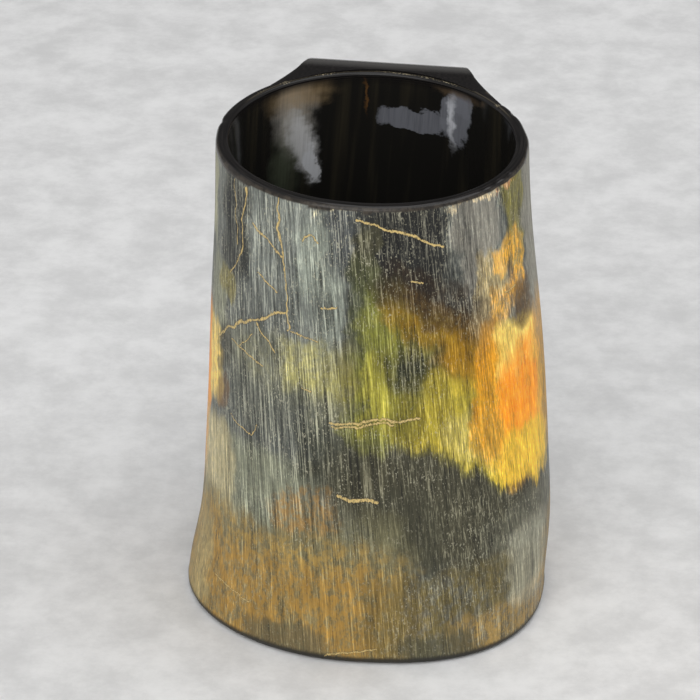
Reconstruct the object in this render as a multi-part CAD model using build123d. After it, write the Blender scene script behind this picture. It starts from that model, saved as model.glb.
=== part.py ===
"""Horn drinking cup: a tankard cut from one hollow horn, its handle a strip of the same horn.

The strip is left standing on the back of the wall, folded outwards along the rim and bowed
down to a foot on the wall, where two blind pegs hold it. A disc let into the wide end closes
the cup and a bead of sealing resin runs round the inside corner.

Frame: millimetres, +Z up, +Y towards the handle, origin on the standing face below the bore.
"""
import math
import os
from dataclasses import dataclass

from build123d import *

# Overall sizes
RIM_HEIGHT = 140.0
RIM_FALL_RIGHT = 0.02
RIM_RISE_BACK = 0.02
WALL_AT_RIM = 3.7
WALL_AT_FOOT = 5.4
RIM_OUTER_ROUND = 1.5
RIM_INNER_ROUND = 0.9
HEEL_ROUND = 2.0

# Closing disc, its seat in the wide end and the bead above it
DISC_THICKNESS = 6.0
SEAT_WALL = 3.9
DISC_CLEARANCE = 0.15
DISC_EDGE_CHAMFER = 0.8
BEAD_WIDTH = 3.6
BEAD_HEIGHT = 3.4
BEAD_LIP = 0.4

# Handle strip: flared root on the rim, shoulder, grip, lower bow and foot on the wall
STRIP_THICKNESS = 3.8
STRIP_EDGE_ROUND = 1.3
ROOT_SINK = 0.5
ROOT_RISE = 5.0
ROOT_REACH = 18.4
ROOT_RUN = 20.6
ROOT_ROLL = 1.15
ROOT_WEB = 4.0
ROOT_SETBACK = 1.1
SHOULDER_RADIUS = 12.0
SHOULDER_FALL = 42.0
GRIP_REACH = 73.5
GRIP_RADIUS = 30.0
GRIP_LENGTH = 14.0
BOW_RADIUS = 26.0
BOW_TURN = 55.0
FOOT_RADIUS = 9.0
FOOT_LENGTH = 17.0
FOOT_CORNER = 5.0
FOOT_GAP = 0.2
ROOT_HALF_WIDTH = 37.4
RIM_HALF_WIDTH = 24.8
SHOULDER_HALF_WIDTH = 22.6
GRIP_HALF_WIDTH = 16.5
FOOT_HALF_WIDTH = 14.0
FOOT_HOLLOW = 2.1
FLARE_FALL_OFF = 1.2
BEND_FALL_OFF = 2.0

# Pegs in the handle's foot
PEG_DIAMETER = 4.0
PEG_SPACING = 13.0
PEG_BLIND_DEPTH = 2.8
PEG_PROUD = 0.4
PEG_EASE = 0.3
PEG_CLEARANCE = 0.05

# Fineness of the drawn curves
SECTION_POINTS = 32
FLATTEST_HOLLOW = 0.05
STATION_SPACING = 2.6


@dataclass(frozen=True)
class Section:
    """One level cut through the outside of the horn, by its reach from the bore line."""

    height: float
    right: float
    left: float
    front: float
    back: float
    full_right: float = 2.0
    full_left: float = 2.0


@dataclass(frozen=True)
class Station:
    """One cross-section of the handle strip: place and heading in the side view, and its shape."""

    back: float
    height: float
    heading: float
    half_width: float
    hollow: float
    web: float
    roll: float


FOOT = Section(0.0, 49.4, 52.6, 45.2, 47.5, full_right=2.45)
HORN = (
    FOOT,
    Section(0.06, 49.8, 51.4, 45.0, 47.3, full_right=2.42),
    Section(0.15, 50.6, 48.8, 44.6, 47.0, full_right=2.36),
    Section(0.30, 49.9, 46.8, 44.0, 46.4, full_right=2.25),
    Section(0.48, 48.3, 45.4, 43.4, 45.4, full_right=2.12, full_left=2.05),
    Section(0.66, 46.0, 44.3, 42.8, 44.3, full_right=2.10, full_left=2.10),
    Section(0.83, 43.4, 43.0, 42.0, 43.2, full_right=2.10, full_left=2.10),
    Section(1.00, 42.1, 42.4, 41.1, 42.1, full_right=2.10, full_left=2.10),
    Section(1.07, 41.9, 42.2, 40.8, 41.7, full_right=2.10, full_left=2.10),
)
ROUND = 2.0


def oval(section, inset, height):
    """Level face: four quarter superellipses round the bore line, drawn in by the inset."""
    points = []
    for step in range(SECTION_POINTS):
        angle = 2 * math.pi * step / SECTION_POINTS
        across = math.cos(angle)
        along = math.sin(angle)
        side = (section.right if across >= 0 else section.left) - inset
        depth = (section.back if along >= 0 else section.front) - inset
        full = ROUND
        if along < 0:
            full = section.full_right if across >= 0 else section.full_left
        reach = (abs(across / side) ** full + abs(along / depth) ** full) ** (-1 / full)
        points.append((reach * across, reach * along, height))
    return make_face(Spline(*points, periodic=True))


def wall_at(section):
    """Wall thickness at a section, thinning evenly from the foot to the rim."""
    return WALL_AT_FOOT + (WALL_AT_RIM - WALL_AT_FOOT) * section.height


def horn_solid(swell=0.0):
    """Solid horn through every section, from the standing face to above the rim."""
    return loft([oval(s, -swell, s.height * RIM_HEIGHT) for s in HORN])


def bore_solid(growth=0.0):
    """Hollow of the horn through every section, or that hollow grown into the wall."""
    return loft([oval(s, wall_at(s) - growth, s.height * RIM_HEIGHT) for s in HORN])


def slab(low, high):
    """Wide block between two heights."""
    size = 4 * RIM_HEIGHT
    return Pos(0, 0, low) * Box(size, size, high - low, align=(Align.CENTER, Align.CENTER, Align.MIN))


def rim_plane():
    """Plane of the rim cut, falling a little to the right and rising a little to the back."""
    return Plane(origin=(0, 0, RIM_HEIGHT), z_dir=(RIM_FALL_RIGHT, -RIM_RISE_BACK, 1))


def seat(clearance, height):
    """Straight-sided plug to the outline of the disc's seat, standing on the base."""
    return extrude(oval(FOOT, SEAT_WALL + clearance, 0.0), height)


def cup_wall(horn, bore):
    """Wall of the cup: cut at the rim, edges rounded, seat for the disc cut in the wide end."""
    wall = horn - (bore & slab(DISC_THICKNESS, 2 * RIM_HEIGHT)) - seat(0.0, DISC_THICKNESS)
    wall = split(wall, bisect_by=rim_plane(), keep=Keep.BOTTOM)
    rim = wall.faces().filter_by(GeomType.PLANE).sort_by(Axis.Z)[-1]
    wall = fillet(rim.outer_wire().edges(), RIM_OUTER_ROUND)
    rim = wall.faces().filter_by(GeomType.PLANE).sort_by(Axis.Z)[-1]
    wall = fillet(rim.inner_wires()[0].edges(), RIM_INNER_ROUND)
    heel = wall.faces().filter_by(GeomType.PLANE).sort_by(Axis.Z)[0]
    return fillet(heel.outer_wire().edges(), HEEL_ROUND)


def wall_back(horn, height):
    """Reach of the outside of the horn behind the bore line at a height."""
    hits = horn.find_intersection_points(Axis((0, 0, height), (0, 1, 0)))
    return max(point.Y for point, _ in hits)


class HandlePath:
    """Side view of the strip's middle line, walked from its root in the wall to its foot."""

    def __init__(self, horn):
        rim_back = wall_back(horn, RIM_HEIGHT)
        self.horn = horn
        self.back = rim_back - WALL_AT_RIM - ROOT_REACH
        self.height = RIM_HEIGHT + RIM_RISE_BACK * self.back - ROOT_SINK - STRIP_THICKNESS / 2
        self.heading = ROOT_RISE
        self.half_width = ROOT_HALF_WIDTH
        self.hollow = 0.0
        self.web = ROOT_WEB
        self.roll = ROOT_ROLL
        self.stations = []
        self.mark()

    def mark(self):
        """Set a cross-section at the present place."""
        place = (self.back, self.height, self.heading)
        hollow = max(self.hollow, FLATTEST_HOLLOW)
        self.stations.append(Station(*place, self.half_width, hollow, self.web, self.roll))

    def step(self, radius, degrees, length):
        """Move along an arc, or along a straight when the turn is nothing."""
        if degrees == 0:
            self.back += length * math.cos(math.radians(self.heading))
            self.height += length * math.sin(math.radians(self.heading))
            return
        side = math.copysign(radius, degrees)
        self.back += side * math.sin(math.radians(self.heading))
        self.height -= side * math.cos(math.radians(self.heading))
        self.heading -= degrees
        self.back -= side * math.sin(math.radians(self.heading))
        self.height += side * math.cos(math.radians(self.heading))

    def leg(self, half_width, hollow=0.0, web=0.0, roll=0.0, radius=0.0, turn=0.0, length=0.0, fall_off=1.0):
        """Walk one leg in equal steps, the section's shape settling to the values at its end."""
        start = (self.half_width, self.hollow, self.web, self.roll)
        end = (half_width, hollow, web, roll)
        run = length + radius * math.radians(abs(turn))
        count = round(run / STATION_SPACING)
        for number in range(1, count + 1):
            self.step(radius, turn / count, length / count)
            left = (1 - number / count) ** fall_off
            shape = [last + (first - last) * left for first, last in zip(start, end)]
            self.half_width, self.hollow, self.web, self.roll = shape
            self.mark()

    def close_on_wall(self):
        """Find the slant and the foot's top and lean that lay the foot along the wall."""
        bow = math.radians(BOW_TURN)
        half = STRIP_THICKNESS / 2
        top = self.height / 2
        for _ in range(4):
            high = wall_back(self.horn, top)
            lean = math.atan2(wall_back(self.horn, top - FOOT_LENGTH) - high, FOOT_LENGTH)
            inward = BOW_RADIUS * (1 - math.cos(bow)) + FOOT_RADIUS * (math.cos(lean) - math.cos(bow))
            slant = (self.back - high - FOOT_GAP - half - inward) / math.sin(bow)
            bends = BOW_RADIUS * math.sin(bow) + FOOT_RADIUS * (math.sin(bow) + math.sin(lean))
            top = self.height - GRIP_LENGTH - bends - slant * math.cos(bow)
        return slant, top, math.degrees(lean)

    def walk(self):
        """Walk the whole strip: root, shoulder, grip, bow and foot, run on past its end."""
        self.leg(
            RIM_HALF_WIDTH,
            web=ROOT_WEB,
            roll=ROOT_ROLL,
            length=ROOT_RUN,
            fall_off=FLARE_FALL_OFF,
        )
        self.leg(
            SHOULDER_HALF_WIDTH,
            roll=ROOT_ROLL,
            radius=SHOULDER_RADIUS - STRIP_THICKNESS / 2,
            turn=ROOT_RISE + SHOULDER_FALL,
            fall_off=BEND_FALL_OFF,
        )
        fall = math.radians(SHOULDER_FALL)
        reach = GRIP_REACH - self.back - GRIP_RADIUS * (1 - math.sin(fall))
        waist = (SHOULDER_HALF_WIDTH + GRIP_HALF_WIDTH) / 2
        self.leg(waist, length=reach / math.cos(fall))
        bend = 90 - SHOULDER_FALL
        self.leg(GRIP_HALF_WIDTH, radius=GRIP_RADIUS, turn=bend, fall_off=BEND_FALL_OFF)
        slant, self.foot_top, self.foot_lean = self.close_on_wall()
        self.leg(GRIP_HALF_WIDTH, length=GRIP_LENGTH)
        self.leg(FOOT_HALF_WIDTH, radius=BOW_RADIUS, turn=BOW_TURN)
        self.leg(FOOT_HALF_WIDTH, length=slant)
        back_turn = -BOW_TURN - self.foot_lean
        self.leg(FOOT_HALF_WIDTH, FOOT_HOLLOW, radius=FOOT_RADIUS, turn=back_turn)
        self.leg(FOOT_HALF_WIDTH, FOOT_HOLLOW, length=2 * FOOT_LENGTH)


def strip_section(station):
    """Cross-section of the strip: a band hollowed to an arc, with rounded edges and a web below."""
    angle = math.radians(station.heading)
    roll = math.radians(station.roll)
    plane = Plane(
        origin=(0, station.back, station.height),
        x_dir=(math.cos(roll), math.sin(roll) * math.sin(angle), -math.sin(roll) * math.cos(angle)),
        z_dir=(0, math.cos(angle), math.sin(angle)),
    )
    top = -STRIP_THICKNESS / 2
    under = STRIP_THICKNESS / 2 + station.web
    middle = (top + under) / 2 + station.hollow
    wide = station.half_width - STRIP_EDGE_ROUND
    edge_top = top + station.hollow
    edge_under = under + station.hollow
    band = (
        Spline((-wide, edge_top), (0, top), (wide, edge_top)),
        Spline((wide, edge_top), (station.half_width, middle), (wide, edge_under)),
        Spline((wide, edge_under), (0, under), (-wide, edge_under)),
        Spline((-wide, edge_under), (-station.half_width, middle), (-wide, edge_top)),
    )
    return plane * make_face(Curve() + list(band))


def foot_end(path):
    """Waste beyond the foot: what lies below its end and outside its rounded corners."""
    end = path.foot_top - FOOT_LENGTH
    tongue = RectangleRounded(2 * FOOT_HALF_WIDTH, 4 * FOOT_CORNER, FOOT_CORNER * 0.98)
    keep = extrude(Plane.XZ * Pos(0, end + 2 * FOOT_CORNER) * tongue, RIM_HEIGHT, both=True)
    return slab(end - RIM_HEIGHT, end + FOOT_CORNER) - keep


def pegs(path, clearance=0.0):
    """Pair of blind pegs through the foot of the handle into the wall."""
    height = path.foot_top - FOOT_LENGTH / 2
    wall = wall_back(path.horn, height)
    drop = FOOT_HOLLOW * (PEG_SPACING / 2 / FOOT_HALF_WIDTH) ** 2
    length = PEG_BLIND_DEPTH + FOOT_GAP + STRIP_THICKNESS + PEG_PROUD
    peg = Cylinder(PEG_DIAMETER / 2 + clearance, length, align=(Align.CENTER, Align.CENTER, Align.MIN))
    if clearance == 0:
        peg = chamfer(peg.edges().group_by(Axis.Z)[-1], PEG_EASE)
    start = wall - drop - PEG_BLIND_DEPTH
    return [Pos(side * PEG_SPACING / 2, start, height) * Rot(-90, 0, 0) * peg for side in (-1, 1)]


def handle_strip(path):
    """Strip from its root in the wall to its foot, clear of the wall where the foot lies on it."""
    path.walk()
    strip = loft([strip_section(station) for station in path.stations])
    near_wall = horn_solid(FOOT_GAP) & slab(0.0, path.foot_top + FOOT_RADIUS)
    return strip - foot_end(path) - near_wall


def horn_shell(horn, bore, path):
    """Wall and handle as the one piece of horn they are cut from."""
    strip = handle_strip(path)
    shell = cup_wall(horn, bore) + (strip - bore_solid(ROOT_SETBACK))
    return shell - pegs(path, PEG_CLEARANCE)


def base_disc():
    """Disc that closes the wide end, its upper edge eased to enter the seat."""
    disc = seat(DISC_CLEARANCE, DISC_THICKNESS)
    return chamfer(disc.edges().group_by(Axis.Z)[-1], DISC_EDGE_CHAMFER)


def base_bead(bore):
    """Bead of resin in the inside corner, sloping from the wall down on to the disc."""
    low = DISC_THICKNESS
    high = DISC_THICKNESS + BEAD_HEIGHT
    ring = bore & slab(low, high)
    mouth = loft(
        [
            oval(FOOT, wall_at(FOOT) + BEAD_WIDTH, low),
            oval(FOOT, wall_at(FOOT) + BEAD_LIP, high),
        ]
    )
    return ring - mouth


def main():
    """Build every piece and write it to its own file."""
    os.makedirs("parts", exist_ok=True)
    horn = horn_solid()
    bore = bore_solid()
    path = HandlePath(horn)
    pieces = {
        "horn_shell": horn_shell(horn, bore, path),
        "base_disc": base_disc(),
        "base_bead": base_bead(bore),
        "handle_pegs": Compound(pegs(path)),
    }
    for name, piece in pieces.items():
        export_step(piece, f"parts/{name}.step")


if __name__ == "__main__":
    main()
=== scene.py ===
"""Horn drinking cup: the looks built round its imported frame.

The wall and the handle strip are one closed surface of horn, uneven as natural horn is, and painted
by where each spot grew: the angle round the horn and the height above its foot. The disc, the bead
and the pegs keep their own solids and get finishes of their own.

Forms are worked out in millimetres and written to the meshes in metres.
"""

import logging
import math
from dataclasses import dataclass, field
from enum import Enum
from typing import Any, Sequence

import bpy
import numpy as np
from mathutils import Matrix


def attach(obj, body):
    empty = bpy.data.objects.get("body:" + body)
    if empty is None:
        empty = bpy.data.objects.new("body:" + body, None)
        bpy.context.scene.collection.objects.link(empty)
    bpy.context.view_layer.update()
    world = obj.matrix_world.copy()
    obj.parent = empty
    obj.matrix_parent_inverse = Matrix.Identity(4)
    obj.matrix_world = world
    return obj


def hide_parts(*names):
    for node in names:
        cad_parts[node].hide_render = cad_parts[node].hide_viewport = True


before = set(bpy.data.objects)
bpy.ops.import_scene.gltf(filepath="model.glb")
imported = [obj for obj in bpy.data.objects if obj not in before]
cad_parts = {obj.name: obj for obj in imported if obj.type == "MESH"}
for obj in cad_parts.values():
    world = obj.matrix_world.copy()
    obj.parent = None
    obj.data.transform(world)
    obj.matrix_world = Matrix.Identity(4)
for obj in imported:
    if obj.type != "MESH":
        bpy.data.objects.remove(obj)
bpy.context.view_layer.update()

LOG = logging.getLogger("horn_cup")
MM = 0.001
ROUND = 2.0
NOISE_MIDDLE = 0.5

Colour = tuple[float, float, float]
Weights = tuple[tuple[str, float], ...]


def smooth_through(places: np.ndarray, known: np.ndarray, values: np.ndarray) -> np.ndarray:
    """Natural cubic curve through known points.

    The bends at the known points solve the usual three-band system, with no bend at either end, and
    each gap is a straight blend of its two values plus a cubic share of its two bends.

    Args:
        places: where the curve is wanted.
        known: places of the known points, rising.
        values: values at the known points.

    Returns:
        The curve's values at the places.
    """
    gaps = np.diff(known)
    slopes = np.diff(values) / gaps
    bands = np.diag(2 * (gaps[:-1] + gaps[1:])) + np.diag(gaps[1:-1], 1) + np.diag(gaps[1:-1], -1)
    bends = np.concatenate([[0.0], np.linalg.solve(bands, 6 * np.diff(slopes)), [0.0]])
    at = np.clip(np.searchsorted(known, places) - 1, 0, len(known) - 2)
    up = (places - known[at]) / gaps[at]
    down = 1 - up
    bow = (down**3 - down) * bends[at] + (up**3 - up) * bends[at + 1]
    return down * values[at] + up * values[at + 1] + bow * gaps[at] ** 2 / 6


def paint(red: float, green: float, blue: float) -> tuple[float, float, float, float]:
    """Colour for a socket from its eye values of 0 to 255.

    Light is an even share of the eye value near black, and a power of it above that.

    Args:
        red: red as the eye sees it.
        green: green as the eye sees it.
        blue: blue as the eye sees it.

    Returns:
        Linear red, green and blue, and full cover.
    """
    eye = np.array([red, green, blue]) / 255
    linear = np.where(eye <= 0.04045, eye / 12.92, ((eye + 0.055) / 1.055) ** 2.4)
    return (float(linear[0]), float(linear[1]), float(linear[2]), 1.0)


@dataclass
class Surface:
    """Points in millimetres and the faces between them."""

    points: np.ndarray
    faces: list[tuple[int, ...]]

    def to_object(self, name: str) -> bpy.types.Object:
        """Write the surface to a new object in the scene.

        Args:
            name: name of the object and its mesh.

        Returns:
            The object, at the origin, in metres.
        """
        mesh = bpy.data.meshes.new(name)
        mesh.from_pydata((self.points * MM).tolist(), [], self.faces)
        mesh.validate()
        made = bpy.data.objects.new(name, mesh)
        bpy.context.scene.collection.objects.link(made)
        return made


def ring_faces(rows: int, columns: int, closed: bool) -> np.ndarray:
    """Quads of a grid that is closed round its columns, and round its rows if wanted.

    Args:
        rows: number of rows.
        columns: points in a row.
        closed: whether the last row meets the first.

    Returns:
        One line of four point numbers for each quad, facing outwards.
    """
    row = np.arange(rows if closed else rows - 1)[:, None]
    column = np.arange(columns)[None, :]
    after = (row + 1) % rows * columns
    beside = (column + 1) % columns
    here = row * columns
    corners = (here + column, here + beside, after + beside, after + column)
    return np.stack(np.broadcast_arrays(*corners), axis=-1).reshape(-1, 4)


@dataclass(frozen=True)
class Section:
    """One level cut through the outside of the horn, by its reach from the bore line."""

    share: float
    right: float
    left: float
    front: float
    back: float
    full_right: float = ROUND
    full_left: float = ROUND


@dataclass(frozen=True)
class HornForm:
    """Natural form of the horn: level ovals of four quarters, one above the other."""

    rim_height: float = 140.0
    rim_fall_right: float = 0.02
    rim_rise_back: float = 0.02
    wall_at_rim: float = 3.7
    wall_at_foot: float = 5.4
    sections: tuple[Section, ...] = (
        Section(0.00, 49.4, 52.6, 45.2, 47.5, full_right=2.45),
        Section(0.06, 49.8, 51.4, 45.0, 47.3, full_right=2.42),
        Section(0.15, 50.6, 48.8, 44.6, 47.0, full_right=2.36),
        Section(0.30, 49.9, 46.8, 44.0, 46.4, full_right=2.25),
        Section(0.48, 48.3, 45.4, 43.4, 45.4, full_right=2.12, full_left=2.05),
        Section(0.66, 46.0, 44.3, 42.8, 44.3, full_right=2.10, full_left=2.10),
        Section(0.83, 43.4, 43.0, 42.0, 43.2, full_right=2.10, full_left=2.10),
        Section(1.00, 42.1, 42.4, 41.1, 42.1, full_right=2.10, full_left=2.10),
        Section(1.07, 41.9, 42.2, 40.8, 41.7, full_right=2.10, full_left=2.10),
    )

    def along(self, name: str, height: np.ndarray) -> np.ndarray:
        """One measure of the sections, carried smoothly up the horn.

        Args:
            name: field of Section.
            height: heights above the foot.

        Returns:
            The measure at those heights.
        """
        shares = np.array([section.share for section in self.sections])
        values = np.array([getattr(section, name) for section in self.sections])
        return smooth_through(np.clip(height / self.rim_height, shares[0], shares[-1]), shares, values)

    def reach(self, turn: np.ndarray, height: np.ndarray, inset: np.ndarray | float = 0.0) -> np.ndarray:
        """Distance of the surface from the bore line.

        Each quarter is a superellipse: the sum of the two shares of its half-axes, each raised to
        the quarter's fullness, is one.

        Args:
            turn: angle from the front towards the right, in radians.
            height: height above the foot.
            inset: how far the half-axes are drawn in.

        Returns:
            The reach at each turn and height.
        """
        across = np.sin(turn)
        behind = -np.cos(turn)
        side = np.where(across >= 0, self.along("right", height), self.along("left", height)) - inset
        depth = np.where(behind >= 0, self.along("back", height), self.along("front", height)) - inset
        front = np.where(across >= 0, self.along("full_right", height), self.along("full_left", height))
        full = np.where(behind >= 0, ROUND, front)
        return (np.abs(across / side) ** full + np.abs(behind / depth) ** full) ** (-1 / full)

    def place(
        self, turn: np.ndarray, level: np.ndarray, inset: np.ndarray, height: np.ndarray
    ) -> np.ndarray:
        """Points on the oval of one level, set at a height.

        Args:
            turn: angle from the front towards the right, in radians.
            level: height whose oval is taken.
            inset: how far the half-axes are drawn in.
            height: height of the points.

        Returns:
            The points, right, back and up.
        """
        reach = self.reach(turn, level, inset)
        parts = np.broadcast_arrays(reach * np.sin(turn), -reach * np.cos(turn), height)
        return np.stack(parts, axis=-1)

    def wall(self, height: np.ndarray) -> np.ndarray:
        """Wall thickness, thinning evenly from the foot to the rim."""
        return self.wall_at_foot + (self.wall_at_rim - self.wall_at_foot) * height / self.rim_height

    def rim(self, right: np.ndarray, back: np.ndarray) -> np.ndarray:
        """Height of the rim's sloping cut above a place."""
        return self.rim_height - self.rim_fall_right * right + self.rim_rise_back * back


@dataclass(frozen=True)
class Unevenness:
    """Shallow unevenness of scraped horn: long waves round it that drift slowly up its height."""

    depth: float = 0.3
    waves: int = 14
    fewest_round: int = 3
    most_round: int = 26
    drift: float = 0.05
    seed: int = 7

    def inward(self, turn: np.ndarray, height: np.ndarray) -> np.ndarray:
        """How far the surface lies below the true form: a sum of waves, shifted to be nothing or more.

        Args:
            turn: angle round the horn, in radians.
            height: height above the foot.

        Returns:
            Depths from nothing to the full depth.
        """
        draw = np.random.default_rng(self.seed)
        shape = (self.waves,) + (1,) * np.ndim(turn + height)
        count = draw.integers(self.fewest_round, self.most_round, self.waves).reshape(shape)
        start = draw.uniform(0, 2 * math.pi, self.waves).reshape(shape)
        climb = draw.uniform(-self.drift, self.drift, self.waves).reshape(shape)
        waves = np.cos(count * turn + climb * height + start) / np.sqrt(count)
        total = waves.sum(axis=0)
        return self.depth * (total - total.min()) / np.ptp(total)


@dataclass(frozen=True)
class RimChip:
    """Small chip off the outer edge of the rim."""

    turn: float
    width: float
    depth: float


@dataclass
class CupWall:
    """Wall of the cup: heel, outside, rounded rim, inside and the disc's seat, as one closed loop."""

    form: HornForm
    heel_round: float = 2.0
    rim_outer_round: float = 1.5
    rim_inner_round: float = 0.9
    disc_thickness: float = 6.0
    seat_wall: float = 3.9
    columns: int = 320
    outside_rows: int = 150
    inside_rows: int = 50
    round_rows: int = 6
    flat_rows: int = 4
    chip_fall: float = 1.2
    unevenness: Unevenness = Unevenness()
    chips: tuple[RimChip, ...] = (
        RimChip(58.0, 3.0, 0.5),
        RimChip(51.0, 2.2, 0.35),
        RimChip(66.0, 2.0, 0.4),
        RimChip(128.0, 2.6, 0.5),
        RimChip(118.0, 2.0, 0.4),
        RimChip(33.0, 1.8, 0.3),
        RimChip(-96.0, 2.4, 0.4),
    )

    def chipped(self, turn: np.ndarray) -> np.ndarray:
        """Depth of the chips along the rim's outer edge: one bell for each chip.

        Args:
            turn: angle round the horn, in radians.

        Returns:
            The depth at each turn.
        """
        depth = np.zeros_like(turn)
        for chip in self.chips:
            away = (np.degrees(turn) - chip.turn + 180) % 360 - 180
            depth += chip.depth * np.exp(-((away / chip.width) ** 2))
        return depth

    def surface(self) -> Surface:
        """Closed surface of two parameters: the turn round the horn and the place along the profile.

        The profile starts under the heel, goes up the outside, over the rim, down the inside to the
        disc and down the seat. Its rounds are quarter circles in inset and height.

        Returns:
            The wall.
        """
        form = self.form
        turn = np.linspace(-math.pi, math.pi, self.columns, endpoint=False)[None, :]
        quarter = np.linspace(0, math.pi / 2, self.round_rows)[:, None]
        up = np.linspace(0, 1, self.outside_rows)[1:-1, None]
        down = np.linspace(0, 1, self.inside_rows)[1:, None]
        across = np.linspace(0, 1, self.flat_rows)[1:-1, None]
        outer, inner, heel = self.rim_outer_round, self.rim_inner_round, self.heel_round
        lip = form.wall_at_rim - inner
        edge = form.place(turn, np.array(form.rim_height), np.array(0.0), np.array(0.0))
        rim = form.rim(edge[..., 0], edge[..., 1])
        chip = self.chipped(turn)
        full = np.ones_like(turn)
        shoulder = rim - outer
        outside = heel + up * (shoulder - heel)
        near_rim = np.exp(-((shoulder - outside) / self.chip_fall))
        inside = (rim - inner) + down * (self.disc_thickness - rim + inner)
        seat = np.linspace(self.disc_thickness, 0, self.flat_rows)[:, None]
        uneven = self.unevenness
        skin = uneven.inward(turn, outside)
        edge_skin = uneven.inward(turn, shoulder)
        rows = (
            (heel * (1 - np.sin(quarter)) * full, heel * (1 - np.cos(quarter)) * full),
            (skin + chip * near_rim, outside),
            (
                outer * (1 - np.cos(quarter)) + chip * (1 - quarter / math.pi) + edge_skin,
                shoulder + outer * np.sin(quarter) - chip * np.sin(quarter) / 2,
            ),
            (outer + across * (lip - outer) + 0 * full, rim - chip * (1 - across) / 2),
            (lip + inner * np.sin(quarter) * full, rim - inner + inner * np.cos(quarter)),
            (form.wall(inside), inside),
        )
        inset = np.concatenate([row[0] for row in rows])
        height = np.concatenate([row[1] for row in rows])
        body = form.place(turn, height, inset, height)
        plug = form.place(turn, np.array(0.0), np.array(self.seat_wall), seat * full)
        grid = np.concatenate([body, plug])
        faces = ring_faces(len(grid), self.columns, closed=True)
        return Surface(grid.reshape(-1, 3), faces.tolist())

    def bore(self, growth: float, low: float, high: float) -> Surface:
        """Plug that fills the mouth of the bore, grown into the wall.

        Args:
            growth: how far the plug reaches into the wall.
            low: height of its lower end.
            high: height of its upper end.

        Returns:
            The closed plug.
        """
        turn = np.linspace(-math.pi, math.pi, self.columns, endpoint=False)[None, :]
        height = np.linspace(low, high, self.inside_rows)[:, None]
        grid = self.form.place(turn, height, self.form.wall(height) - growth, height)
        faces = ring_faces(len(grid), self.columns, closed=False).tolist()
        first = np.arange(self.columns)
        faces.append(tuple(first[::-1].tolist()))
        faces.append(tuple((first + (len(grid) - 1) * self.columns).tolist()))
        return Surface(grid.reshape(-1, 3), faces)


@dataclass(frozen=True)
class Leg:
    """One straight or arc of the strip's middle line, and its section's shape at the far end."""

    half_width: float
    length: float = 0.0
    radius: float = 0.0
    turn: float = 0.0
    hollow: float = 0.0
    web: float = 0.0
    roll: float = 0.0
    fall_off: float = 1.0


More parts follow.
